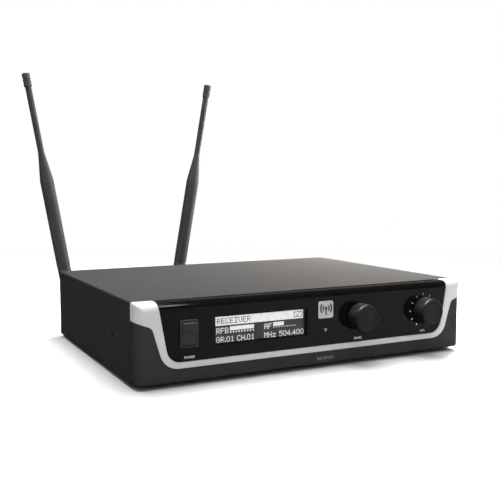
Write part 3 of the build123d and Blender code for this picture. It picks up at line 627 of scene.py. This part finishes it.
def background(tree, colour, strength):
    inputs = {"Color": (*colour, 1), "Strength": strength}
    return add_node(tree, "ShaderNodeBackground", inputs).outputs["Background"]


def glow_light(tree, place, height, glow):
    """Light from round the glow's centre, kept between two heights."""
    inputs = {0: place, 1: glow["centre"]}
    toward = add_node(tree, "ShaderNodeVectorMath", inputs, operation="DOT_PRODUCT")
    reach = (0.0, glow["strength"])
    level = remap(tree, toward.outputs["Value"], glow["grow"], reach, "SMOOTHSTEP")
    rise = remap(tree, height, glow["fade_in"], (0.0, 1.0), "SMOOTHSTEP")
    fall = remap(tree, height, glow["fade_out"], (1.0, 0.0), "SMOOTHSTEP")
    level = product(tree, product(tree, level, rise), fall)
    return background(tree, glow["colour"], level)


def build_world():
    """White backdrop for the camera; as light, a dim surround with a warm glow behind on the right
    and a weak one in front on the right."""
    world = bpy.data.worlds.new("studio")
    bpy.context.scene.world = world
    world.use_nodes = True
    tree = world.node_tree
    tree.nodes.remove(tree.nodes["Background"])
    place = add_node(tree, "ShaderNodeTexCoord", {}).outputs["Generated"]
    height = add_node(tree, "ShaderNodeSeparateXYZ", {"Vector": place}).outputs["Z"]
    light = background(tree, WHITE, SURROUND_LEVEL)
    for glow in GLOWS:
        inputs = {0: light, 1: glow_light(tree, place, height, glow)}
        light = add_node(tree, "ShaderNodeAddShader", inputs).outputs["Shader"]
    seen = add_node(tree, "ShaderNodeLightPath", {}).outputs["Is Camera Ray"]
    choose = {"Fac": seen, 1: light, 2: background(tree, WHITE, 1.0)}
    result = add_node(tree, "ShaderNodeMixShader", choose).outputs["Shader"]
    set_inputs(tree, tree.nodes["World Output"], {"Surface": result})


# ---- lights and camera ----

CAMERA_PLACE = (-0.2141, -0.4367, 0.1038)
CAMERA_YAW = 27.437
CAMERA_PITCH = 5.085
CAMERA_LENS = 53.52
CAMERA_SENSOR = 36.0


def area_light(name, place, target, size, power, mirrored=False, colour=WHITE):
    """A square soft light; unless mirrored, it lights surfaces without showing as a reflection."""
    data = bpy.data.lights.new(name, "AREA")
    data.shape = "SQUARE"
    data.size = size
    data.energy = power
    data.color = colour
    light = bpy.data.objects.new(name, data)
    bpy.context.scene.collection.objects.link(light)
    light.location = place
    light.rotation_euler = (Vector(target) - Vector(place)).to_track_quat("-Z", "Y").to_euler()
    light.visible_camera = False
    light.visible_glossy = mirrored


def build_lights():
    """A wide light overhead, weaker ones in front, and a warm one near the right rear corner."""
    area_light("main", (0.20, 0.30, 1.45), (0, 0, 0), 2.0, 34.0)
    area_light("right_top", (0.25, 0.11, 0.17), (0, 0, 0.04), 0.2, 8.0, colour=(1.0, 0.92, 0.84))
    area_light("front_fill", (-0.35, -1.6, 0.85), (0, 0, 0), 1.4, 5.5)
    area_light("front_top", (0.08, -0.5, 0.75), (0.05, -0.1, 0.03), 0.35, 1.6, mirrored=True)
    area_light("left_front", (-1.1, -1.0, 0.7), (0, 0, 0.05), 0.9, 3.6)
    area_light("top_spot", (0.0, 0.1, 1.0), (0, 0, 0), 0.5, 14.0, mirrored=True)


def build_camera():
    data = bpy.data.cameras.new("camera")
    data.sensor_width = CAMERA_SENSOR
    data.lens = CAMERA_LENS
    data.clip_start = 10 * MM
    camera = bpy.data.objects.new("camera", data)
    bpy.context.scene.collection.objects.link(camera)
    camera.location = CAMERA_PLACE
    camera.rotation_euler = (math.radians(90 - CAMERA_PITCH), 0, math.radians(-CAMERA_YAW))
    bpy.context.scene.camera = camera


build_floor()
build_world()
build_lights()
build_camera()
bpy.context.scene.view_settings.view_transform = "Standard"
